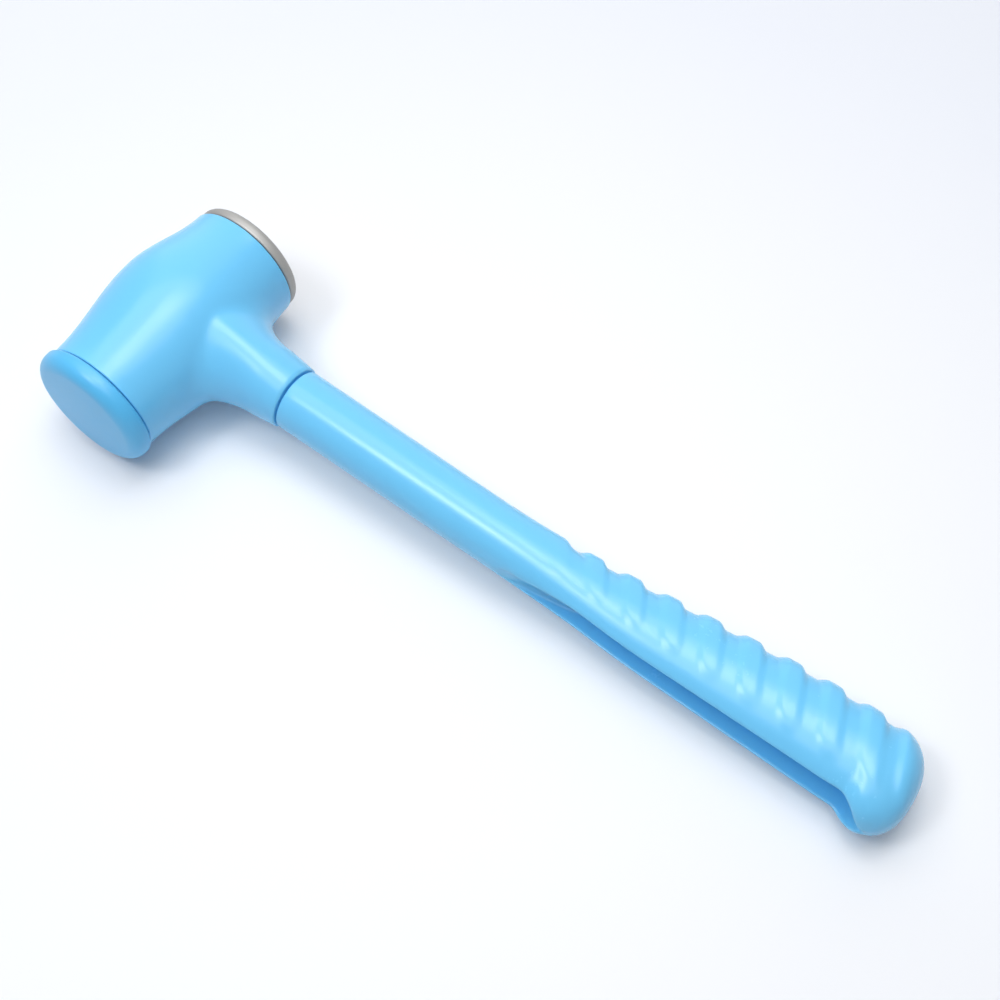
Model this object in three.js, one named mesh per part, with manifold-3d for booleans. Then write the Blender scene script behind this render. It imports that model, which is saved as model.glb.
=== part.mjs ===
// Mini hammer: a blue moulded head with a soft face and a steel face, on a blue moulded handle.
// Millimetres. It lies on its side: +X runs along the handle to the butt, +Y to the steel face, +Z up.

import * as THREE from 'three';
import { mergeVertices } from 'three/addons/utils/BufferGeometryUtils.js';
import Module from 'manifold-3d';

const wasm = await Module();
wasm.setup();

// Fits between the pieces
const fitGap = 0.3;
const seamGap = 0.4;
const cutOverrun = 1.0;

// Barrel of the head, measured from the crossing of its axis with the handle's
const capEndRadius = 13.0;
const steelEndRadius = 13.1;
const barrelSwell = 2.8;
const crestOffset = 0.45;
const capEndReach = 23.8;
const steelEndReach = 19.0;
const shellWall = 3.5;

// Neck that takes the handle
const neckReach = 30.45;
const neckStraight = 5.95;
const neckDraft = 0.6;
const neckFlareWidth = 11.5;
const neckRise = 0.25;
const neckRidge = 1.45;
const neckFlareBury = 2.0;
const collarStep = 0.3;

// Soft face
const capFlangeProud = 0.65;
const capThickness = 4.25;
const capFaceFillet = 2.9;
const capSeamFillet = 0.6;
const capSpigotDepth = 4.0;

// Steel face
const steelRimInset = 0.3;
const steelThickness = 2.8;
const steelRimFillet = 1.7;
const steelSeamFillet = 0.5;
const stemRadius = 4.0;
const stemLength = 8.0;

// Weight core and the stud that holds the soft face on it
const coreChamfer = 0.6;
const studRadius = 3.0;
const studInCap = 5.2;
const studInCore = 7.0;

// Handle, measured from its shoulder at the neck
const shoulderRadius = 6.5;
const waistRadius = 6.3;
const shaftRun = 60.0;
const scallopCount = 9;
const scallopPitch = 8.375;
const ribHeight = 1.0;
const ribShare = 0.38;
const ribTop = 0.32;
const ribLean = 3.6;
const ribLeanFrom = THREE.MathUtils.degToRad(13);
const ribEndFrom = THREE.MathUtils.degToRad(80);
const ribEndRun = THREE.MathUtils.degToRad(38);
const padFadeFrom = THREE.MathUtils.degToRad(125);
const padFadeTo = THREE.MathUtils.degToRad(165);
const buttRun = 6.3;
const buttRound = 9.9;
const buttFullness = 2.4;
const gripLead = 11.8;
const fingerGrowth = 6.65;
const heightGrowth = 2.65;
const backGrowth = 0.9;
const backRamp = 28.0;
const buttFlare = 1.9;
const buttFlareLead = 2.0;
const buttFlareRun = 4.5;
const shoulderStep = 1.5;
const tenonWall = 2.1;

// Channel along the back of the grip
const channelHalfHeight = 3.4;
const channelDepth = 7.9;
const channelTipHalf = 1.3;
const channelLead = 9.0;
const channelRamp = 30.0;
const channelWidening = 24.0;
const channelToButt = 6.3;
const channelCorner = 2.6;

// Tang through the neck into the shaft
const tangInHandle = 46.0;
const tangInCore = 6.0;
const tangChamfer = 0.5;

// Facets
const barrelSides = 48;
const barrelRings = 13;
const neckSides = 40;
const neckRings = 10;
const handleSides = 44;
const ringsPerScallop = 7;
const shaftRings = 4;
const buttRings = 7;
const boreSides = 32;
const filletSteps = 4;

// Sizes that follow from the ones above
const crestRadius = Math.max(capEndRadius, steelEndRadius) + barrelSwell;
const boreRadius = Math.min(capEndRadius, steelEndRadius) - shellWall;
const coreRadius = boreRadius - fitGap;
const capFlangeRadius = capEndRadius + capFlangeProud;
const steelRimRadius = steelEndRadius - steelRimInset;
const capSeam = -capEndReach - seamGap;
const capFace = capSeam - capThickness;
const spigotEnd = -capEndReach + capSpigotDepth;
const coreCapEnd = spigotEnd + fitGap;
const coreSteelEnd = steelEndReach;
const steelSeam = steelEndReach + seamGap;
const steelFaceLevel = steelSeam + steelThickness;
const collarRadius = shoulderRadius + collarStep;
const tenonRadius = shoulderRadius - shoulderStep;
const tangRadius = tenonRadius - tenonWall - fitGap;
const socketRadius = tenonRadius + fitGap;
const shoulder = neckReach + seamGap;
const tenonEnd = boreRadius + fitGap;
const scallopStart = shaftRun;
const scallopEnd = scallopStart + scallopCount * scallopPitch;
const handleLength = scallopEnd + buttRun;
const gripStart = shaftRun - gripLead;
const gripEnd = handleLength - buttRound;
const buttHalfHeight = waistRadius + heightGrowth;
const gripBack = waistRadius + backGrowth;
const quarterTurn = Math.PI / 2;

// Turn a closed geometry into a solid that can be cut and joined
function solidOf(geometry) {
  geometry.deleteAttribute('normal');
  geometry.deleteAttribute('uv');
  const merged = mergeVertices(geometry);
  const index = merged.index.array;
  const triangles = [];
  for (let i = 0; i < index.length; i += 3) {
    const [a, b, c] = index.slice(i, i + 3);
    if (a !== b && b !== c && c !== a) {
      triangles.push(a, b, c);
    }
  }
  return new wasm.Manifold(new wasm.Mesh({
    numProp: 3,
    vertProperties: new Float32Array(merged.attributes.position.array),
    triVerts: new Uint32Array(triangles),
  }));
}

function geometryOf(solid) {
  const mesh = solid.getMesh();
  const geometry = new THREE.BufferGeometry();
  geometry.setAttribute('position', new THREE.BufferAttribute(mesh.vertProperties, 3));
  geometry.setIndex(new THREE.BufferAttribute(mesh.triVerts, 1));
  geometry.computeVertexNormals();
  return geometry;
}

// A turned piece about the Y axis from [radius, level] pairs
function turned(profile, sides) {
  const points = profile.map(([radius, level]) => new THREE.Vector2(radius, level));
  return new THREE.LatheGeometry(points, sides);
}

// Points of a quarter round about a centre, from one angle to another
function roundedCorner(radius, level, fillet, from, to) {
  const corner = [];
  for (let step = 0; step <= filletSteps; step += 1) {
    const angle = THREE.MathUtils.lerp(from, to, step / filletSteps);
    corner.push([radius + fillet * Math.cos(angle), level + fillet * Math.sin(angle)]);
  }
  return corner;
}

// Lay a piece turned about Y along +X
function alongX(geometry) {
  return geometry.rotateZ(-quarterTurn);
}

function rodAlongX(radius, from, to, sides) {
  const rod = alongX(new THREE.CylinderGeometry(radius, radius, to - from, sides));
  return rod.translate((from + to) / 2, 0, 0);
}

// Barrel: a raised cosine swells it from both ends to the crest beside the handle
function barrelRadius(level) {
  const towardsCap = level < crestOffset;
  const endRadius = towardsCap ? capEndRadius : steelEndRadius;
  const run = towardsCap ? crestOffset + capEndReach : steelEndReach - crestOffset;
  const swell = Math.cos(quarterTurn * Math.abs(level - crestOffset) / run) ** 2;
  return endRadius + (crestRadius - endRadius) * swell;
}

function barrel() {
  const profile = [[0, -capEndReach]];
  for (let ring = 0; ring <= barrelRings; ring += 1) {
    const level = THREE.MathUtils.lerp(-capEndReach, steelEndReach, ring / barrelRings);
    profile.push([barrelRadius(level), level]);
  }
  profile.push([0, steelEndReach]);
  return solidOf(turned(profile, barrelSides));
}

// Neck: a drafted collar that flares to both faces and climbs the barrel above and below in a soft ridge
function neck() {
  const flareStart = neckReach - neckStraight;
  const flareEnd = Math.min(capEndRadius, steelEndRadius) - neckFlareBury;
  const flareFoot = collarRadius + neckDraft;
  const flareWidth = Math.min(neckFlareWidth, Math.min(capEndReach, steelEndReach) - flareFoot);
  const stations = [{ reach: 0, spread: 1 }];
  for (let ring = 0; ring <= neckRings; ring += 1) {
    const angle = quarterTurn * ring / neckRings;
    const reach = flareStart - (flareStart - flareEnd) * Math.cos(angle);
    stations.push({ reach, spread: 1 - Math.sin(angle) });
  }
  const profile = [[0, 0]];
  stations.forEach(({ reach, spread }) => profile.push([flareFoot + flareWidth * spread, reach]));
  profile.push([collarRadius, neckReach], [0, neckReach]);
  const geometry = alongX(turned(profile, neckSides));
  const position = geometry.attributes.position;
  for (let i = 0; i < position.count; i += 1) {
    const reach = position.getX(i);
    const width = Math.hypot(position.getY(i), position.getZ(i));
    if (width > 0) {
      const height = Math.min(collarRadius + neckRise * (neckReach - reach), crestRadius - shellWall);
      const share = THREE.MathUtils.clamp((flareStart - reach) / (flareStart - flareEnd), 0, 1);
      const power = 2 / THREE.MathUtils.lerp(2, neckRidge, share);
      const across = position.getY(i) / width;
      const upward = position.getZ(i) / width;
      position.setY(i, width * Math.sign(across) * Math.abs(across) ** power);
      position.setZ(i, height * Math.sign(upward) * Math.abs(upward) ** power);
    }
  }
  return solidOf(geometry);
}

function headShell() {
  const boreLength = capEndReach + steelEndReach + 2 * cutOverrun;
  const bore = new THREE.CylinderGeometry(boreRadius, boreRadius, boreLength, boreSides);
  bore.translate(0, (steelEndReach - capEndReach) / 2, 0);
  const socket = rodAlongX(socketRadius, 0, neckReach + cutOverrun, boreSides);
  return geometryOf(barrel().add(neck()).subtract(solidOf(bore)).subtract(solidOf(socket)));
}

// Soft face: a flange with a wide rounded edge, a spigot into the barrel and a blind hole for the stud
function strikingCap() {
  const faceFillet = Math.min(capFaceFillet, capThickness - capSeamFillet);
  const holeRadius = studRadius + fitGap;
  const holeEnd = spigotEnd - studInCap - fitGap;
  return turned([
    [0, capFace],
    ...roundedCorner(capFlangeRadius - faceFillet, capFace + faceFillet, faceFillet, -quarterTurn, 0),
    ...roundedCorner(capFlangeRadius - capSeamFillet, capSeam - capSeamFillet, capSeamFillet, 0, quarterTurn),
    [coreRadius, capSeam],
    [coreRadius, spigotEnd],
    [holeRadius, spigotEnd],
    [holeRadius, holeEnd],
    [0, holeEnd],
  ], barrelSides);
}

// Steel face: a disc with a rounded rim and a stem into the core
function steelFace() {
  const backRadius = steelRimRadius - steelSeamFillet;
  const rimFillet = Math.min(steelRimFillet, steelThickness - steelSeamFillet);
  return turned([
    [0, steelSeam - stemLength],
    [stemRadius, steelSeam - stemLength],
    [stemRadius, steelSeam],
    ...roundedCorner(backRadius, steelSeam + steelSeamFillet, steelSeamFillet, -quarterTurn, 0),
    ...roundedCorner(steelRimRadius - rimFillet, steelFaceLevel - rimFillet, rimFillet, 0, quarterTurn),
    [0, steelFaceLevel],
  ], barrelSides);
}

// Weight core: a slug with a hole at each end for the faces and one across for the tang
function weightCore() {
  const studHole = studRadius + fitGap;
  const studHoleEnd = coreCapEnd + studInCore + fitGap;
  const stemHole = stemRadius + fitGap;
  const stemHoleEnd = steelSeam - stemLength - fitGap;
  const slug = turned([
    [0, studHoleEnd],
    [studHole, studHoleEnd],
    [studHole, coreCapEnd],
    [coreRadius - coreChamfer, coreCapEnd],
    [coreRadius, coreCapEnd + coreChamfer],
    [coreRadius, coreSteelEnd - coreChamfer],
    [coreRadius - coreChamfer, coreSteelEnd],
    [stemHole, coreSteelEnd],
    [stemHole, stemHoleEnd],
    [0, stemHoleEnd],
  ], barrelSides);
  const tangEnd = coreRadius - tangInCore - fitGap;
  const tangHole = rodAlongX(tangRadius + fitGap, tangEnd, coreRadius + cutOverrun, boreSides);
  return geometryOf(solidOf(slug).subtract(solidOf(tangHole)));
}

function capStud() {
  const from = spigotEnd - studInCap;
  const to = coreCapEnd + studInCore;
  const stud = new THREE.CylinderGeometry(studRadius, studRadius, to - from, boreSides);
  return stud.translate(0, (from + to) / 2, 0);
}

// Grip section: an oval that grows to the finger side, with leaning ribs that end at the top and bottom
function shaftRadius(run) {
  return THREE.MathUtils.lerp(shoulderRadius, waistRadius, THREE.MathUtils.clamp(run / gripStart, 0, 1));
}

// How deep the skin lies below the ribs' tops, with the turn counted from the finger side
function scallopCut(run, turn) {
  const place = (run - scallopStart - ribLean * (turn - ribLeanFrom)) / scallopPitch;
  const fromRib = Math.abs(place - Math.round(place)) / ribShare;
  const pastEnd = Math.max(0, turn - ribEndFrom) / ribEndRun;
  const valley = THREE.MathUtils.smoothstep(Math.hypot(fromRib, pastEnd), ribTop, 1);
  const first = THREE.MathUtils.smoothstep(place, 0, 0.5);
  const last = THREE.MathUtils.smoothstep(scallopCount - place, 0, 0.5);
  const pad = 1 - THREE.MathUtils.smoothstep(turn, padFadeFrom, padFadeTo);
  return ribHeight * valley * first * last * pad;
}

function gripPoint(run, angle) {
  const growth = THREE.MathUtils.smoothstep(run, gripStart, gripEnd);
  const round = shaftRadius(run);
  const back = backGrowth * THREE.MathUtils.smoothstep(run, scallopStart, scallopStart + backRamp);
  const flareStart = gripEnd - buttFlareLead;
  const flare = buttFlare * THREE.MathUtils.smoothstep(run, flareStart, flareStart + buttFlareRun);
  const fingerSide = round + fingerGrowth * growth;
  const backSide = round + back + flare;
  const y = (fingerSide - backSide) / 2 + (fingerSide + backSide) / 2 * Math.cos(angle);
  const z = (round + heightGrowth * growth) * Math.sin(angle);
  const reach = Math.hypot(y, z);
  const keep = (reach - scallopCut(run, Math.atan2(Math.abs(z), y))) / reach;
  return [y * keep, z * keep];
}

// Stations along the handle: [share of the section, distance from the shoulder]
function handleStations() {
  const stations = [[0, tenonEnd - shoulder], [tenonRadius / shoulderRadius, tenonEnd - shoulder]];
  stations.push([tenonRadius / shoulderRadius, 0], [1, 0]);
  for (let ring = 1; ring <= shaftRings; ring += 1) {
    stations.push([1, gripStart * ring / shaftRings]);
  }
  const gripRings = Math.round((gripEnd - gripStart) / scallopPitch * ringsPerScallop);
  for (let ring = 1; ring <= gripRings; ring += 1) {
    stations.push([1, THREE.MathUtils.lerp(gripStart, gripEnd, ring / gripRings)]);
  }
  for (let ring = 1; ring < buttRings; ring += 1) {
    const angle = quarterTurn * ring / buttRings;
    const share = Math.cos(angle) ** (2 / buttFullness);
    stations.push([share, gripEnd + buttRound * Math.sin(angle) ** (2 / buttFullness)]);
  }
  stations.push([0, handleLength]);
  return stations;
}

// Channel: a slot with rounded corners at the butt, which starts narrow and deepens along its ramp
function channelCutter() {
  const start = scallopStart - channelLead;
  const widest = start + channelWidening;
  const end = handleLength - channelToButt;
  const corner = Math.min(channelCorner, channelHalfHeight);
  const outside = 2 * (gripBack + buttFlare);
  const mouth = new THREE.Shape();
  mouth.moveTo(start, -channelTipHalf);
  mouth.lineTo(widest, -channelHalfHeight);
  mouth.lineTo(end - corner, -channelHalfHeight);
  mouth.absarc(end - corner, corner - channelHalfHeight, corner, -quarterTurn, 0, false);
  mouth.absarc(end - corner, channelHalfHeight - corner, corner, 0, quarterTurn, false);
  mouth.lineTo(widest, channelHalfHeight);
  mouth.lineTo(start, channelTipHalf);
  const slotDepth = { depth: 2 * outside, bevelEnabled: false, curveSegments: filletSteps };
  const slot = new THREE.ExtrudeGeometry(mouth, slotDepth);
  slot.rotateX(quarterTurn).translate(0, outside, 0);
  const floor = new THREE.Shape();
  floor.moveTo(start, -gripBack);
  floor.lineTo(start + channelRamp, channelDepth - gripBack);
  floor.lineTo(end + outside, channelDepth - gripBack);
  floor.lineTo(end + outside, -outside);
  floor.lineTo(start, -outside);
  const wedge = new THREE.ExtrudeGeometry(floor, { depth: 4 * channelHalfHeight, bevelEnabled: false });
  wedge.translate(0, 0, -2 * channelHalfHeight);
  return solidOf(slot).intersect(solidOf(wedge));
}

function handle() {
  const geometry = alongX(turned(handleStations(), handleSides));
  const position = geometry.attributes.position;
  for (let i = 0; i < position.count; i += 1) {
    const share = Math.hypot(position.getY(i), position.getZ(i));
    const [y, z] = gripPoint(position.getX(i), Math.atan2(position.getZ(i), position.getY(i)));
    position.setY(i, share * y);
    position.setZ(i, share * z);
  }
  const boreStart = tenonEnd - shoulder - cutOverrun;
  const bore = rodAlongX(tangRadius + fitGap, boreStart, tangInHandle + fitGap, boreSides);
  return geometryOf(solidOf(geometry).subtract(channelCutter()).subtract(solidOf(bore)));
}

// Tang: a chamfered steel rod from the core into the shaft
function handleTang() {
  const from = coreRadius - tangInCore;
  const to = shoulder + tangInHandle;
  return alongX(turned([
    [0, from],
    [tangRadius - tangChamfer, from],
    [tangRadius, from + tangChamfer],
    [tangRadius, to - tangChamfer],
    [tangRadius - tangChamfer, to],
    [0, to],
  ], boreSides));
}

// Finishes
const bluePlastic = new THREE.MeshStandardMaterial({ color: 0x5fc0f2, roughness: 0.38, metalness: 0 });
const capPlastic = new THREE.MeshStandardMaterial({ color: 0x5ab9ec, roughness: 0.45, metalness: 0 });
const satinSteel = new THREE.MeshStandardMaterial({ color: 0xb4b4b2, roughness: 0.35, metalness: 1 });
const rawSteel = new THREE.MeshStandardMaterial({ color: 0x8c8e90, roughness: 0.55, metalness: 1 });

function piece(name, geometry, material) {
  const mesh = new THREE.Mesh(geometry, material);
  mesh.name = name;
  return mesh;
}

const head = new THREE.Group();
head.add(
  piece('head_shell', headShell(), bluePlastic),
  piece('striking_cap', strikingCap(), capPlastic),
  piece('steel_face', steelFace(), satinSteel),
  piece('weight_core', weightCore(), rawSteel),
  piece('cap_stud', capStud(), rawSteel),
  piece('handle_tang', handleTang(), rawSteel),
);

const grip = new THREE.Group();
grip.position.x = shoulder;
grip.add(piece('handle', handle(), bluePlastic));

// It rests on the crest of its barrel and on the underside of its butt, so the handle slopes a little
const restReach = shoulder + gripEnd;
const restArm = Math.hypot(restReach, buttHalfHeight);
const lying = new THREE.Group();
lying.rotation.y = Math.atan2(restReach, buttHalfHeight) - Math.acos(crestRadius / restArm);
lying.add(head, grip);

const miniHammer = new THREE.Group();
miniHammer.add(lying);
miniHammer.updateMatrixWorld(true);
const box = new THREE.Box3().setFromObject(miniHammer, true);
lying.position.set(-(box.min.x + box.max.x) / 2, -(box.min.y + box.max.y) / 2, -box.min.z);

export default miniHammer;
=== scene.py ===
import math

import bmesh
import bpy
from mathutils import Matrix, Vector


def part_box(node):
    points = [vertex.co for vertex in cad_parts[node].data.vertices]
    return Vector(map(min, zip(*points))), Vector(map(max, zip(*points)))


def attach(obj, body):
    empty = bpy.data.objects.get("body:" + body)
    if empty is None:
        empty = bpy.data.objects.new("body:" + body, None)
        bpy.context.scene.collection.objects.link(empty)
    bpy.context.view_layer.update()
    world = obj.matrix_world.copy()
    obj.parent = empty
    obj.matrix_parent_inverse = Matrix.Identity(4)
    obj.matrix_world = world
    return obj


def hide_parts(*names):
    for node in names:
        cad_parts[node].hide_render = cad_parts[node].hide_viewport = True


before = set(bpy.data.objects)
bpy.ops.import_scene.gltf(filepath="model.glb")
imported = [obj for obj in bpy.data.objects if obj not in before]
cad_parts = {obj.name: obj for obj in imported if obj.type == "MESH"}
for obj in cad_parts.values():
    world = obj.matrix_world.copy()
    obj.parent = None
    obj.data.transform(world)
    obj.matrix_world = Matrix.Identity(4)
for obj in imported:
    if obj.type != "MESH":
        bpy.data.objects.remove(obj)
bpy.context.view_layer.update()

# The pieces are shaped in millimetres on the hammer's own axes: X along the handle, Y out of the steel
# face, both through the middle of the head. LAY puts them where the solids lie.
disc_low, disc_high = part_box("steel_face")
tang_low, tang_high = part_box("handle_tang")
disc_middle = (disc_low + disc_high) / 2
tang_middle = (tang_low + tang_high) / 2
handle_slope = math.atan2(disc_middle.z - tang_middle.z, tang_middle.x - disc_middle.x)
LAY = (
    Matrix.Translation((disc_middle.x, tang_middle.y, disc_middle.z))
    @ Matrix.Rotation(handle_slope, 4, "Y")
    @ Matrix.Scale(0.001, 4)
)

# Meshes
MERGE_DISTANCE = 0.0005
SHARP_ANGLE = math.radians(50)
ROUND_SEGMENTS = 8

# Barrel
CAP_END = -23.9
STEEL_END = 19.2
CAP_END_RADIUS = 13.0
STEEL_END_RADIUS = 13.1
CREST = 0.45
CREST_RADIUS = 15.9
BORE_RADIUS = 9.5
RIM_ROUND = 0.3
BARREL_SIDES = 160
BARREL_RINGS = 66
BORE_RINGS = 27

# Neck
NECK_END = 30.45
NECK_FLARE_START = 24.5
NECK_FLARE_END = 11.0
NECK_RADIUS = 6.8
NECK_DRAFT = 0.6
NECK_FLARE_WIDTH = 11.5
NECK_RISE = 0.25
NECK_RIDGE = 1.45
NECK_TALLEST = 12.4
NECK_ROUND = 0.35
NECK_RINGS = 8
NECK_ROUND_RINGS = 5
SOCKET_RADIUS = 5.3
SOCKET_END = BORE_RADIUS + 0.6
JUNCTION_ANGLE = math.radians(53)
JUNCTION_REACH = 16.3
JUNCTION_RINGS = 26
JUNCTION_PASSES = 5
SKIN_TRIES = 6
SIDE_BLEND = 2.2
TOP_BLEND = 0.5
MOUTH_ANGLE = math.radians(40)
MOUTH_REACH = 6.5

# Soft face
CAP_SEAM = -24.2
CAP_FACE = -28.45
CAP_RADIUS = 13.65
CAP_FACE_ROUND = 2.9
CAP_SEAM_ROUND = 0.6
SPIGOT_END = -19.8
SPIGOT_RADIUS = 9.2
SPIGOT_ROUND = 0.3
STUD_HOLE_RADIUS = 3.3
STUD_HOLE_END = -25.3

# Steel face
DISC_SEAM = 19.4
DISC_FACE = 22.2
DISC_RADIUS = 12.8
DISC_FACE_ROUND = 1.7
DISC_SEAM_ROUND = 0.5
STEM_RADIUS = 4.0
STEM_END = 11.4
STEM_ROUND = 0.4

# Handle, along its length from the shoulder
SHOULDER = 30.85
SHOULDER_RADIUS = 6.5
WAIST_RADIUS = 6.3
SHOULDER_ROUND = 0.35
TENON_RADIUS = 5.0
TENON_END = -21.05
TENON_CHAMFER = 0.4
TANG_HOLE_RADIUS = 2.9
TANG_HOLE_END = 46.3
GRIP_START = 48.2
SCALLOP_START = 60.0
SCALLOPS = 9
SCALLOP_PITCH = 8.375
RIB_HEIGHT = 1.0
RIB_SHARE = 0.38
RIB_TOP = 0.32
RIB_LEAN = 3.6
RIB_LEAN_FROM = math.radians(13)
RIB_END_FROM = math.radians(88)
RIB_END_RUN = math.radians(34)
RIB_FADE_FROM = math.radians(24)
RIB_FADE_TO = math.radians(64)
RIB_END_SHARE = 0.3
PAD_LEAD = 4.0
PAD_FADE_FROM = math.radians(80)
PAD_FADE_TO = math.radians(165)
HANDLE_LENGTH = 141.675
BUTT_ROUND = 9.9
BUTT_FULLNESS = 2.4
FINGER_GROWTH = 6.65
HEIGHT_GROWTH = 2.65
BACK_GROWTH = 0.9
BACK_RAMP = 28.0
BUTT_FLARE = 1.9
BUTT_FLARE_LEAD = 2.0
BUTT_FLARE_RUN = 4.5
CHANNEL_START = 51.0
CHANNEL_RAMP = 30.0
CHANNEL_END = 135.375
CHANNEL_HALF = 3.4
CHANNEL_END_HALF = 4.1
CHANNEL_FLOOR = 0.7
CHANNEL_NOSE = 6.5
CHANNEL_NOSE_HALF = 0.5
BEHIND_NOSE_HALF = 2.0
CHANNEL_TIP_HALF = 1.3
CHANNEL_WIDENING = 24.0
GRIP_END = HANDLE_LENGTH - BUTT_ROUND
HANDLE_COLUMNS = 160
CHANNEL_COLUMNS = 56
SHOULDER_STEPS = 5
SHAFT_STEPS = 30
GRIP_STEPS = 250
BUTT_STEPS = 34
SIDE_STEPS = 120
BACK_STEPS = 80
SLOT_STEPS = 160
SLOT_POWER = 0.5
WIDEST_LIP = 0.95
LEAST_SHARE = 0.05
LIP_PASSES = 24
LIP_FEWEST_PASSES = 6
LIP_COLUMNS = 9
LIP_START_LAG = 8.0

# Camera: lens and place found from the photograph, in millimetres on the hammer's own axes
VIEW_LENS = 57.6
VIEW_SENSOR = 36
VIEW_PLACE = (159.58, -119.13, 274.48)
VIEW_BACK = (0.2635, -0.4015, 0.8771)
VIEW_RIGHT = (0.80186, 0.59665, 0.03221)

# Floor: its colour is painted darker and bluer away from the hammer, a painted falloff of the lamps' light
FLOOR_MIDDLE = (0.01, 0.0, 0.0)
FLOOR_NEAR = (0.905, 0.915, 0.935, 1)
FLOOR_FAR = (0.84, 0.87, 0.94, 1)
BACKGROUND = (0.98, 0.99, 1.0, 1)


def blend(low, high, share):
    return low + (high - low) * share


def ease(value, start, end):
    share = min(1.0, max(0.0, (value - start) / (end - start)))
    return share * share * (3 - 2 * share)


class Signal:
    """A shader value that adds its own Math nodes when it is reckoned with."""

    def __init__(self, finish, socket):
        self.finish = finish
        self.socket = socket

    def reckon(self, operation, *values):
        return self.finish.node("ShaderNodeMath", {"operation": operation}, dict(enumerate(values)))

    def __add__(self, other):
        return self.reckon("ADD", self, other)

    def __radd__(self, other):
        return self.reckon("ADD", other, self)

    def __mul__(self, other):
        return self.reckon("MULTIPLY", self, other)

    def __rmul__(self, other):
        return self.reckon("MULTIPLY", other, self)


class Finish:
    """A material, or the world, with its nodes."""

    def __init__(self, name, world=None):
        self.material = world or bpy.data.materials.new(name)
        self.material.use_nodes = True
        self.tree = self.material.node_tree
        self.shader = self.tree.nodes["Background" if world else "Principled BSDF"]

    def node(self, kind, settings, sockets, output=0):
        made = self.tree.nodes.new(kind)
        for name, value in settings.items():
            setattr(made, name, value)
        for name, value in sockets.items():
            self.feed(made.inputs[name], value)
        return Signal(self, made.outputs[output])

    def feed(self, socket, value):
        if isinstance(value, Signal):
            self.tree.links.new(value.socket, socket)
        else:
            socket.default_value = value

    def surface(self, **inputs):
        for name, value in inputs.items():
            self.feed(self.shader.inputs[name.replace("_", " ")], value)

    def lit(self):
        return Signal(self, self.shader.outputs[0])

    def place(self):
        return self.node("ShaderNodeTexCoord", {}, {}, "Object")

    def noise(self, place, scale, detail=2.0, roughness=0.5):
        sockets = {"Vector": place, "Scale": scale, "Detail": detail, "Roughness": roughness}
        return self.node("ShaderNodeTexNoise", {}, sockets)

    def between(self, value, from_low, from_high, to_low, to_high):
        sockets = {0: value, 1: from_low, 2: from_high, 3: to_low, 4: to_high}
        return self.node("ShaderNodeMapRange", {"clamp": True}, sockets)

    def mixed(self, share, first, second):
        return self.node("ShaderNodeMix", {"data_type": "RGBA"}, {0: share, 6: first, 7: second}, 2)

    def bumped(self, height, depth, strength):
        sockets = {"Height": height, "Distance": depth, "Strength": strength}
        return self.node("ShaderNodeBump", {}, sockets)


def moulded_plastic(name, colour, deep, gloss):
    finish = Finish(name)
    place = finish.place()
    drift = finish.noise(place, 38.0, 3.0)
    speck = finish.noise(place, 900.0, 2.0)
    grain = finish.noise(place, 1500.0, 2.0, 0.5)
    ripple = finish.noise(place, 160.0, 1.0)
    tone = finish.between(drift * 0.75 + speck * 0.25, 0.3, 0.7, 0.0, 1.0)
    rough = gloss + drift * 0.1 + speck * 0.08
    relief = grain * 0.1 + ripple * 0.65
    finish.surface(
        Base_Color=finish.mixed(tone, deep, colour),
        Roughness=rough,
        Normal=finish.bumped(relief, 0.00006, 0.35),
    )
    return finish.material


def turned_steel(name, bright, dull, rough):
    finish = Finish(name)
    place = finish.place()
    drift = finish.noise(place, 120.0, 3.0)
    grain = finish.noise(place, 2600.0, 3.0, 0.65)
    tone = finish.between(drift * 0.5 + grain * 0.5, 0.3, 0.7, 0.0, 1.0)
    finish.surface(
        Base_Color=finish.mixed(tone, dull, bright),
        Metallic=1.0,
        Roughness=rough + grain * 0.16,
        Normal=finish.bumped(grain, 0.00004, 0.3),
    )
    return finish.material


BLUE = moulded_plastic("blue_plastic", (0.155, 0.575, 0.93, 1), (0.149, 0.56, 0.915, 1), 0.15)
CAP_BLUE = moulded_plastic("cap_plastic", (0.095, 0.495, 0.865, 1), (0.09, 0.48, 0.85, 1), 0.24)
SATIN = turned_steel("satin_steel", (0.36, 0.357, 0.347, 1), (0.32, 0.317, 0.308, 1), 0.5)
RAW = turned_steel("raw_steel", (0.42, 0.43, 0.44, 1), (0.33, 0.34, 0.35, 1), 0.42)


def finished(name, bm, material, node):
    bmesh.ops.remove_doubles(bm, verts=bm.verts, dist=MERGE_DISTANCE)
    bmesh.ops.recalc_face_normals(bm, faces=bm.faces)
    bm.transform(LAY)
    mesh = bpy.data.meshes.new(name)
    bm.to_mesh(mesh)
    bm.free()
    mesh.shade_smooth()
    mesh.set_sharp_from_angle(angle=SHARP_ANGLE)
    mesh.materials.append(material)
    piece = bpy.data.objects.new(name, mesh)
    bpy.context.scene.collection.objects.link(piece)
    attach(piece, "root")
    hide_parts(node)
    return piece


def outline(bm, corners, closed):
    """A wire of (radius, level, rounding) corners in the plane of the barrel's axis."""
    verts = [bm.verts.new((radius, level, 0)) for radius, level, _ in corners]
    ends = verts[1:] + verts[:1] if closed else verts[1:]
    for first, second in zip(verts, ends):
        bm.edges.new((first, second))
    for vert, (_, _, rounding) in zip(verts, corners):
        if rounding:
            bmesh.ops.bevel(
                bm, geom=[vert], offset=rounding, offset_type="OFFSET", segments=ROUND_SEGMENTS,
                profile=0.5, affect="VERTICES", material=-1,
            )


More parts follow.
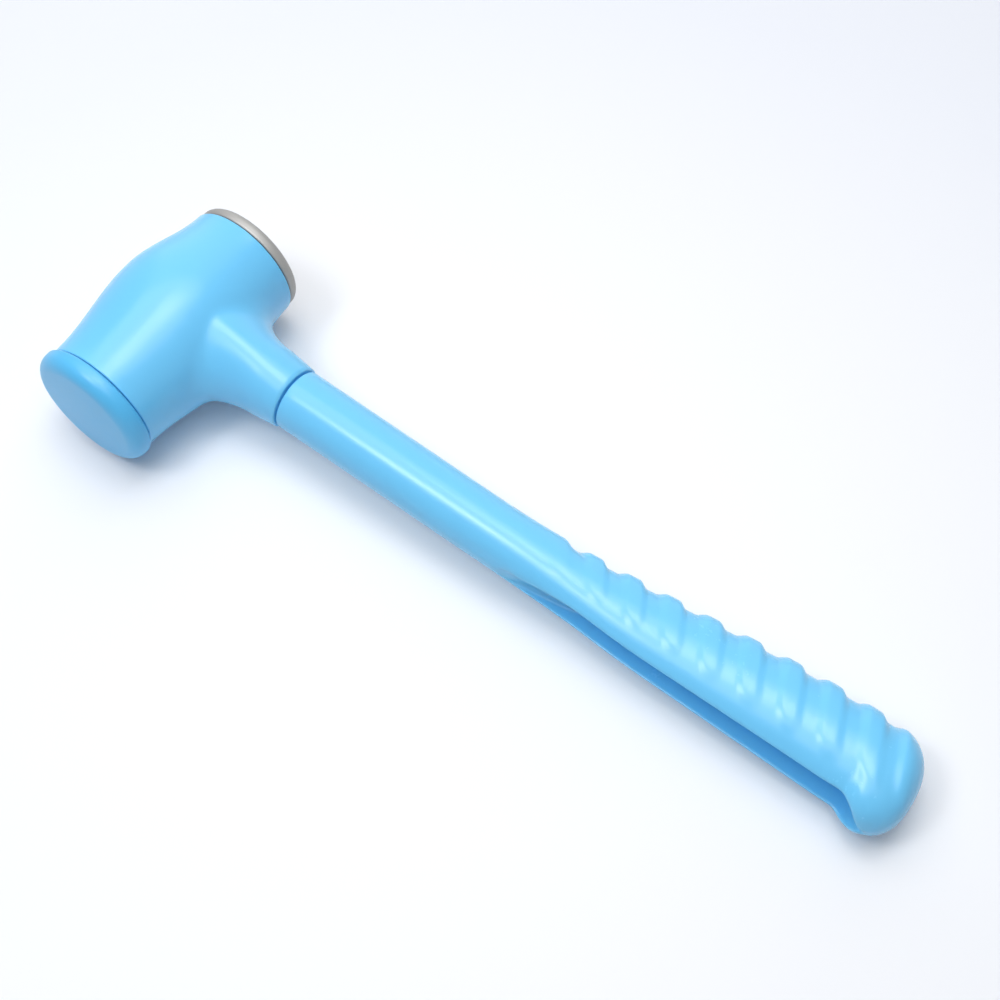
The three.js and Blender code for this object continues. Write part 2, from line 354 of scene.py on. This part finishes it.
def turn_round(bm, sides):
    bmesh.ops.spin(
        bm, geom=bm.verts[:] + bm.edges[:], cent=(0, 0, 0), axis=(0, 1, 0),
        angle=2 * math.pi, steps=sides, use_merge=True,
    )
    bmesh.ops.remove_doubles(bm, verts=bm.verts, dist=MERGE_DISTANCE)


def striking_cap():
    bm = bmesh.new()
    outline(bm, [
        (0, CAP_FACE, 0),
        (CAP_RADIUS, CAP_FACE, CAP_FACE_ROUND),
        (CAP_RADIUS, CAP_SEAM, CAP_SEAM_ROUND),
        (SPIGOT_RADIUS, CAP_SEAM, 0),
        (SPIGOT_RADIUS, SPIGOT_END, SPIGOT_ROUND),
        (STUD_HOLE_RADIUS, SPIGOT_END, 0),
        (STUD_HOLE_RADIUS, STUD_HOLE_END, 0),
        (0, STUD_HOLE_END, 0),
    ], closed=False)
    turn_round(bm, BARREL_SIDES)
    return finished("soft_face", bm, CAP_BLUE, "striking_cap")


def steel_disc():
    bm = bmesh.new()
    outline(bm, [
        (0, STEM_END, 0),
        (STEM_RADIUS, STEM_END, STEM_ROUND),
        (STEM_RADIUS, DISC_SEAM, 0),
        (DISC_RADIUS, DISC_SEAM, DISC_SEAM_ROUND),
        (DISC_RADIUS, DISC_FACE, DISC_FACE_ROUND),
        (0, DISC_FACE, 0),
    ], closed=False)
    turn_round(bm, BARREL_SIDES)
    return finished("steel_disc", bm, SATIN, "steel_face")


def barrel_radius(level):
    towards_cap = level < CREST
    end_radius = CAP_END_RADIUS if towards_cap else STEEL_END_RADIUS
    run = CREST - CAP_END if towards_cap else STEEL_END - CREST
    swell = math.cos(math.pi / 2 * min(1.0, abs(level - CREST) / run)) ** 2
    return blend(end_radius, CREST_RADIUS, swell)


def neck_section(reach):
    """Half the width, half the height and the fullness of the neck: 2 is an oval, less makes a ridge."""
    share = min(1.0, max(0.0, (NECK_FLARE_START - reach) / (NECK_FLARE_START - NECK_FLARE_END)))
    draft = min(1.0, max(0.0, (NECK_END - reach) / (NECK_END - NECK_FLARE_START)))
    spread = 1 - math.sqrt(1 - share * share)
    width = NECK_RADIUS + NECK_DRAFT * draft + NECK_FLARE_WIDTH * spread
    height = min(NECK_TALLEST, NECK_RADIUS + NECK_RISE * (NECK_END - reach))
    return width, height, blend(2.0, NECK_RIDGE, share)


def head_field(point):
    """How far a point is outside the head's skin, the barrel and neck blended into each other."""
    barrel = math.hypot(point.x, point.z) - barrel_radius(point.y)
    width, height, fullness = neck_section(point.x)
    ring = (abs(point.y / width) ** fullness + abs(point.z / height) ** fullness) ** (1 / fullness)
    across = math.hypot(point.y, point.z)
    neck = across * (1 - 1 / max(ring, 0.01))
    top_share = point.z * point.z / max(across * across, 0.01)
    softness = blend(SIDE_BLEND, TOP_BLEND, top_share)
    overlap = max(0.0, softness - abs(barrel - neck)) / softness
    return min(barrel, neck) - overlap * overlap * softness / 4


def onto_head(vert):
    step = 0.01
    for _ in range(SKIN_TRIES):
        here = head_field(vert.co)
        slope = Vector([
            (head_field(vert.co + Vector(axis) * step) - here) / step
            for axis in ((1, 0, 0), (0, 1, 0), (0, 0, 1))
        ])
        vert.co -= slope * (here / max(slope.length_squared, 0.05))


def rim_of(bm):
    """The open edges of a mesh."""
    return [edge for edge in bm.edges if edge.is_boundary]


def grown_ring(bm, edges):
    made = bmesh.ops.extrude_edge_only(bm, edges=edges)["geom"]
    return [part for part in made if isinstance(part, bmesh.types.BMEdge)]


def verts_of(edges):
    return list({vert for edge in edges for vert in edge.verts})


def head_shell():
    bm = bmesh.new()
    outline(bm, [
        (CAP_END_RADIUS, CAP_END, RIM_ROUND),
        (STEEL_END_RADIUS, STEEL_END, RIM_ROUND),
        (BORE_RADIUS, STEEL_END, 0),
        (BORE_RADIUS, CAP_END, 0),
    ], closed=True)
    long_edges = sorted(bm.edges, key=lambda edge: -edge.calc_length())[:2]
    skin_edge, bore_edge = sorted(long_edges, key=lambda edge: -edge.verts[0].co.x)
    bmesh.ops.subdivide_edges(bm, edges=[skin_edge], cuts=BARREL_RINGS)
    bmesh.ops.subdivide_edges(bm, edges=[bore_edge], cuts=BORE_RINGS)
    for vert in bm.verts:
        if vert.co.x > CAP_END_RADIUS - 0.01 and CAP_END + RIM_ROUND < vert.co.y < STEEL_END - RIM_ROUND:
            vert.co.x = barrel_radius(vert.co.y)
    turn_round(bm, BARREL_SIDES)

    # The skin opens where the neck grows out of it
    opened = []
    for face in bm.faces:
        middle = face.calc_center_median()
        facing = abs(math.atan2(middle.z, middle.x)) < JUNCTION_ANGLE
        outside = math.hypot(middle.x, middle.z) > CAP_END_RADIUS - 0.2
        if outside and facing and abs(middle.y) < JUNCTION_REACH:
            opened.append(face)
    bmesh.ops.delete(bm, geom=opened, context="FACES")
    ring = rim_of(bm)
    patch = []
    spokes = {vert: (vert.co.copy(), math.atan2(vert.co.z, vert.co.y)) for vert in verts_of(ring)}
    for step in range(1, JUNCTION_RINGS + 1):
        share = step / JUNCTION_RINGS
        before = spokes
        ring = grown_ring(bm, ring)
        spokes = {}
        for vert in verts_of(ring):
            base = min(before, key=lambda old: (old.co - vert.co).length_squared)
            spokes[vert] = before[base]
        for vert, (start, angle) in spokes.items():
            width, height, _ = neck_section(NECK_FLARE_START)
            end = Vector((NECK_FLARE_START, width * math.cos(angle), height * math.sin(angle)))
            vert.co = start.lerp(end, share)
        if step < JUNCTION_RINGS:
            patch += list(spokes)
    for vert in patch:
        onto_head(vert)
    for _ in range(JUNCTION_PASSES):
        bmesh.ops.smooth_vert(bm, verts=patch, factor=0.5, use_axis_x=True, use_axis_y=True, use_axis_z=True)
        for vert in patch:
            onto_head(vert)

    # The neck runs out to its end, and the socket runs back to the bore
    spokes = {vert: angle for vert, (_, angle) in spokes.items()}

    def next_ring(edges, angles, width, height, reach):
        edges = grown_ring(bm, edges)
        grown = {}
        for vert in verts_of(edges):
            base = min(angles, key=lambda old: (old.co - vert.co).length_squared)
            grown[vert] = angles[base]
        for vert, angle in grown.items():
            vert.co = (reach, width * math.cos(angle), height * math.sin(angle))
        return edges, grown

    straight_end = NECK_END - NECK_ROUND
    for step in range(1, NECK_RINGS + 1):
        reach = blend(NECK_FLARE_START, straight_end, step / NECK_RINGS)
        width, height, _ = neck_section(reach)
        ring, spokes = next_ring(ring, spokes, width, height, reach)
    for step in range(1, NECK_ROUND_RINGS + 1):
        angle = math.pi / 2 * step / NECK_ROUND_RINGS
        radius = NECK_RADIUS - NECK_ROUND * (1 - math.cos(angle))
        ring, spokes = next_ring(ring, spokes, radius, radius, straight_end + NECK_ROUND * math.sin(angle))
    ring, spokes = next_ring(ring, spokes, SOCKET_RADIUS, SOCKET_RADIUS, NECK_END)
    ring, spokes = next_ring(ring, spokes, SOCKET_RADIUS, SOCKET_RADIUS, SOCKET_END)
    mouth = []
    for face in bm.faces:
        middle = face.calc_center_median()
        facing = abs(math.atan2(middle.z, middle.x)) < MOUTH_ANGLE
        inside = math.hypot(middle.x, middle.z) < BORE_RADIUS + 0.2
        if inside and facing and abs(middle.y) < MOUTH_REACH:
            mouth.append(face)
    bmesh.ops.delete(bm, geom=mouth, context="FACES")
    bmesh.ops.bridge_loops(bm, edges=rim_of(bm))
    return finished("barrel_and_neck", bm, BLUE, "head_shell")


def shaft_radius(run):
    return blend(SHOULDER_RADIUS, WAIST_RADIUS, min(1.0, max(0.0, run / GRIP_START)))


def scallop_cut(run, turn):
    """How deep the skin lies below the ribs' tops, with the turn counted from the finger side."""
    place = (run - SCALLOP_START - RIB_LEAN * (turn - RIB_LEAN_FROM)) / SCALLOP_PITCH
    from_rib = abs(place - round(place)) / RIB_SHARE
    past_end = max(0.0, turn - RIB_END_FROM) / RIB_END_RUN
    rib = 1 - ease(math.hypot(from_rib, past_end), RIB_TOP, 1.0)
    valley = 1 - rib * blend(1.0, RIB_END_SHARE, ease(turn, RIB_FADE_FROM, RIB_FADE_TO))
    lead = blend(0.5, PAD_LEAD, ease(turn, RIB_FADE_FROM, RIB_END_FROM))
    first = ease(place, 0.25 - lead / 2, 0.25 + lead / 2)
    last = ease(SCALLOPS - place, 0.0, 0.5)
    pad = 1 - ease(turn, PAD_FADE_FROM, PAD_FADE_TO)
    return RIB_HEIGHT * valley * first * last * pad


def half_height(run):
    return shaft_radius(run) + HEIGHT_GROWTH * ease(run, GRIP_START, GRIP_END)


def grip_point(run, angle):
    """The grip's skin in its cross-section, the angle counted from the finger side."""
    growth = ease(run, GRIP_START, GRIP_END)
    flare_start = GRIP_END - BUTT_FLARE_LEAD
    flare = BUTT_FLARE * ease(run, flare_start, flare_start + BUTT_FLARE_RUN)
    back = BACK_GROWTH * ease(run, SCALLOP_START, SCALLOP_START + BACK_RAMP)
    finger_side = shaft_radius(run) + FINGER_GROWTH * growth
    back_side = shaft_radius(run) + back + flare
    across = (finger_side - back_side) / 2 + (finger_side + back_side) / 2 * math.cos(angle)
    point = Vector((across, half_height(run) * math.sin(angle)))
    return point * (1 - scallop_cut(run, math.atan2(abs(point.y), point.x)) / point.length)


def handle_stations():
    """(share or radius of the section, run, whether it is a plain round) from the tang's hole to the butt."""
    rounds = [(0, TANG_HOLE_END), (TANG_HOLE_RADIUS, TANG_HOLE_END), (TANG_HOLE_RADIUS, TENON_END)]
    rounds += [(TENON_RADIUS - TENON_CHAMFER, TENON_END), (TENON_RADIUS, TENON_END + TENON_CHAMFER)]
    rounds.append((TENON_RADIUS, 0))
    for step in range(SHOULDER_STEPS + 1):
        angle = math.pi / 2 * step / SHOULDER_STEPS
        radius = SHOULDER_RADIUS - SHOULDER_ROUND * (1 - math.sin(angle))
        rounds.append((radius, SHOULDER_ROUND * (1 - math.cos(angle))))
    stations = [(radius, run, True) for radius, run in rounds]
    for step in range(1, SHAFT_STEPS + 1):
        stations.append((1, blend(SHOULDER_ROUND, GRIP_START, step / SHAFT_STEPS), False))
    for step in range(1, GRIP_STEPS + 1):
        stations.append((1, blend(GRIP_START, GRIP_END, step / GRIP_STEPS), False))
    for step in range(1, BUTT_STEPS + 1):
        angle = math.pi / 2 * step / BUTT_STEPS
        share = max(0.0, math.cos(angle)) ** (2 / BUTT_FULLNESS)
        run = GRIP_END + BUTT_ROUND * math.sin(angle) ** (2 / BUTT_FULLNESS)
        stations.append((share, run, False))
    return stations


def channel_half(run):
    """Half the mouth of the channel, which rounds off at its nose and opens again behind it."""
    if run <= CHANNEL_END - CHANNEL_NOSE:
        widened = ease(run, CHANNEL_START, CHANNEL_START + CHANNEL_WIDENING)
        grown = ease(run, CHANNEL_START + CHANNEL_WIDENING, CHANNEL_END - CHANNEL_NOSE)
        return blend(CHANNEL_TIP_HALF, CHANNEL_HALF, widened) + (CHANNEL_END_HALF - CHANNEL_HALF) * grown
    if run <= CHANNEL_END:
        share = (run - CHANNEL_END + CHANNEL_NOSE) / CHANNEL_NOSE
        return max(CHANNEL_NOSE_HALF, CHANNEL_END_HALF * math.sqrt(1 - share ** 4))
    return blend(CHANNEL_NOSE_HALF, BEHIND_NOSE_HALF, ease(run, CHANNEL_END, HANDLE_LENGTH))


def channel_floor(run):
    """The level of the channel's floor, or None where there is no channel."""
    if not CHANNEL_START < run < CHANNEL_END:
        return None
    back = -(WAIST_RADIUS + BACK_GROWTH)
    floor = blend(back, CHANNEL_FLOOR, min(1.0, (run - CHANNEL_START) / CHANNEL_RAMP))
    nose = (run - CHANNEL_END + CHANNEL_NOSE) / CHANNEL_NOSE
    if nose > 0:
        floor = blend(back, floor, math.sqrt(max(0.0, 1 - nose * nose)))
    return floor


def evenly(points, count):
    """Count + 1 points at even distances along a run of points."""
    lengths = [0.0]
    for first, second in zip(points, points[1:]):
        lengths.append(lengths[-1] + (second - first).length)
    result, place = [], 0
    for step in range(count + 1):
        wanted = lengths[-1] * step / count
        while place < len(points) - 2 and lengths[place + 1] < wanted:
            place += 1
        span = max(lengths[place + 1] - lengths[place], 1e-9)
        share = min(1.0, max(0.0, (wanted - lengths[place]) / span))
        result.append(points[place].lerp(points[place + 1], share))
    return result


def lip_angle(run, share):
    """Half the angle that the channel's mouth takes up, seen from the middle of the section."""
    return math.asin(min(WIDEST_LIP, channel_half(run) / (half_height(run) * share)))


def back_angles(lip):
    return [math.pi - lip + 2 * lip * step / BACK_STEPS for step in range(BACK_STEPS + 1)]


def back_curve(run, share):
    """The back of the section from the upper lip to the lower one, with the channel where there is one."""
    lip = lip_angle(run, max(share, LEAST_SHARE))
    skin = [grip_point(run, angle) * share for angle in back_angles(lip)]
    floor = channel_floor(run)
    if floor is None:
        return evenly(skin, CHANNEL_COLUMNS)
    cut = [Vector((max(point.x, floor), point.y)) for point in skin]
    depth = floor - skin[0].x
    if depth <= 0:
        return evenly(cut, CHANNEL_COLUMNS)
    half = skin[0].y
    slot = []
    for step in range(SLOT_STEPS + 1):
        angle = math.pi * step / SLOT_STEPS
        across = math.copysign(abs(math.cos(angle)) ** SLOT_POWER, math.cos(angle))
        slot.append(Vector((skin[0].x + depth * math.sin(angle) ** SLOT_POWER, half * across)))
    deep = ease(depth, 0.0, 1.0)
    pairs = zip(evenly(cut, CHANNEL_COLUMNS), evenly(slot, CHANNEL_COLUMNS))
    return [first.lerp(second, deep) for first, second in pairs]


def section(station):
    """The points round one station of the handle, from the finger side over the top to the back and round."""
    share, run, plain = station
    side_columns = (HANDLE_COLUMNS - CHANNEL_COLUMNS) // 2
    lip = lip_angle(run, 1 if plain else max(share, LEAST_SHARE))
    side = [blend(0, math.pi - lip, step / SIDE_STEPS) for step in range(SIDE_STEPS + 1)]
    if plain:
        upper = [Vector((math.cos(angle), math.sin(angle))) * share for angle in side]
        arc = [Vector((math.cos(angle), math.sin(angle))) * share for angle in back_angles(lip)]
        behind = evenly(arc, CHANNEL_COLUMNS)
    else:
        upper = [grip_point(run, angle) * share for angle in side]
        behind = back_curve(run, share)
    upper = evenly(upper, side_columns)
    lower = [Vector((point.x, -point.y)) for point in reversed(upper)]
    return upper[:-1] + behind[:-1] + lower


def lip_passes(run, from_back):
    """How often a point of the channel's lips is smoothed: most at its start and round its nose."""
    start = CHANNEL_START + LIP_START_LAG
    at_start = 1 - ease(run, start, start + CHANNEL_WIDENING)
    at_nose = ease(run, CHANNEL_END - CHANNEL_NOSE - 3, CHANNEL_END - 1)
    near_lip = 1 - abs(from_back - CHANNEL_COLUMNS // 2) / LIP_COLUMNS
    in_nose = ease(run, CHANNEL_END - 2.5, CHANNEL_END - 0.5) if from_back < CHANNEL_COLUMNS // 2 else 0
    return blend(LIP_FEWEST_PASSES, LIP_PASSES, max(at_start, at_nose)) * max(near_lip, in_nose)


def handle():
    stations = handle_stations()
    bm = bmesh.new()
    bmesh.ops.create_grid(bm, x_segments=len(stations) - 1, y_segments=HANDLE_COLUMNS, size=0.5)
    sections = [section(station) for station in stations]
    lips = {}
    for vert in bm.verts:
        place = round((vert.co.x + 0.5) * (len(stations) - 1))
        column = round((vert.co.y + 0.5) * HANDLE_COLUMNS)
        point = sections[place][column]
        run = stations[place][1]
        if CHANNEL_START - 4 < run < CHANNEL_END + 3:
            lips[vert] = lip_passes(run, abs(column - HANDLE_COLUMNS // 2))
        vert.co = (SHOULDER + run, point.x, point.y)
    bmesh.ops.remove_doubles(bm, verts=bm.verts, dist=MERGE_DISTANCE)
    lips = {vert: passes for vert, passes in lips.items() if vert.is_valid}
    for done in range(LIP_PASSES):
        soft = [vert for vert, passes in lips.items() if passes > done]
        bmesh.ops.smooth_vert(bm, verts=soft, factor=0.5, use_axis_x=True, use_axis_y=True, use_axis_z=True)
    return finished("shaft_and_grip", bm, BLUE, "handle")


head_shell()
striking_cap()
steel_disc()
handle()
for name in ("weight_core", "cap_stud", "handle_tang"):
    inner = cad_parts[name]
    inner.data.materials.clear()
    inner.data.materials.append(RAW)

# Camera
lens = bpy.data.cameras.new("view_lens")
lens.lens = VIEW_LENS
lens.sensor_width = VIEW_SENSOR
lens.clip_start = 0.01
lens.clip_end = 50
camera = bpy.data.objects.new("view", lens)
bpy.context.scene.collection.objects.link(camera)
bpy.context.scene.camera = camera
turn = LAY.to_3x3() * 1000
back = (turn @ Vector(VIEW_BACK)).normalized()
right = (turn @ Vector(VIEW_RIGHT)).normalized()
up = back.cross(right).normalized()
right = up.cross(back)
facing = Matrix((right, up, back)).transposed().to_4x4()
camera.matrix_world = Matrix.Translation(LAY @ Vector(VIEW_PLACE)) @ facing


def shown(finish):
    """1 for the rays that show the background, 0 for those that light by it."""
    rays = [
        finish.node("ShaderNodeLightPath", {}, {}, f"Is {kind} Ray")
        for kind in ("Camera", "Glossy", "Transmission")
    ]
    return rays[0] + rays[1] + rays[2]


# Floor and background: painted darker and a little bluer away from the hammer, a painted falloff of the
# lamps' light, and shown pale where the lamps no longer reach
floor_mesh = bpy.data.meshes.new("floor")
bm = bmesh.new()
bmesh.ops.create_grid(bm, x_segments=8, y_segments=8, size=6)
bm.to_mesh(floor_mesh)
bm.free()
floor = bpy.data.objects.new("floor", floor_mesh)
bpy.context.scene.collection.objects.link(floor)
pale = Finish("pale_floor")
away = {0: pale.place(), 1: FLOOR_MIDDLE}
distance = pale.node("ShaderNodeVectorMath", {"operation": "DISTANCE"}, away, "Value")
# The floor's colour is painted lighter near the hammer and darker and bluer away from it: a painted pool of
# lamp light
painted_falloff_tint = pale.mixed(pale.between(distance, 0.05, 0.17, 0.0, 1.0), FLOOR_NEAR, FLOOR_FAR)
pale.surface(Base_Color=painted_falloff_tint, Roughness=0.9, Specular_IOR_Level=0.1)
glow = pale.node("ShaderNodeEmission", {}, {"Color": painted_falloff_tint})
share = shown(pale) * pale.between(distance, 0.2, 0.7, 0.08, 0.95)
pale.feed(
    pale.tree.nodes["Material Output"].inputs["Surface"],
    pale.node("ShaderNodeMixShader", {}, {0: share, 1: pale.lit(), 2: glow}),
)
floor_mesh.materials.append(pale.material)

# Light
world = bpy.data.worlds.new("studio")
bpy.context.scene.world = world
studio = Finish("studio", world)
studio.feed(studio.shader.inputs["Color"], BACKGROUND)
studio.feed(studio.shader.inputs["Strength"], 0.05 + shown(studio) * 0.85)


def softbox(name, towards, distance, size, power):
    light = bpy.data.lights.new(name, "AREA")
    light.shape = "SQUARE"
    light.size = size
    light.energy = power
    lamp = bpy.data.objects.new(name, light)
    bpy.context.scene.collection.objects.link(lamp)
    direction = Vector(towards).normalized()
    lamp.location = direction * distance
    lamp.rotation_euler = direction.to_track_quat("Z", "Y").to_euler()
    return lamp


softbox("broad_softbox", (-0.08, -0.05, 1.0), 0.65, 0.75, 4.0)
softbox("back_softbox", (-0.5, 0.75, 0.45), 1.0, 1.2, 3.0)
softbox("overhead_lamp", (-0.02, 0.06, 1.0), 0.65, 0.24, 0.8)
softbox("side_lamp", (-0.25, -0.38, 0.88), 0.65, 0.14, 0.7)

bpy.context.scene.view_settings.view_transform = "Standard"
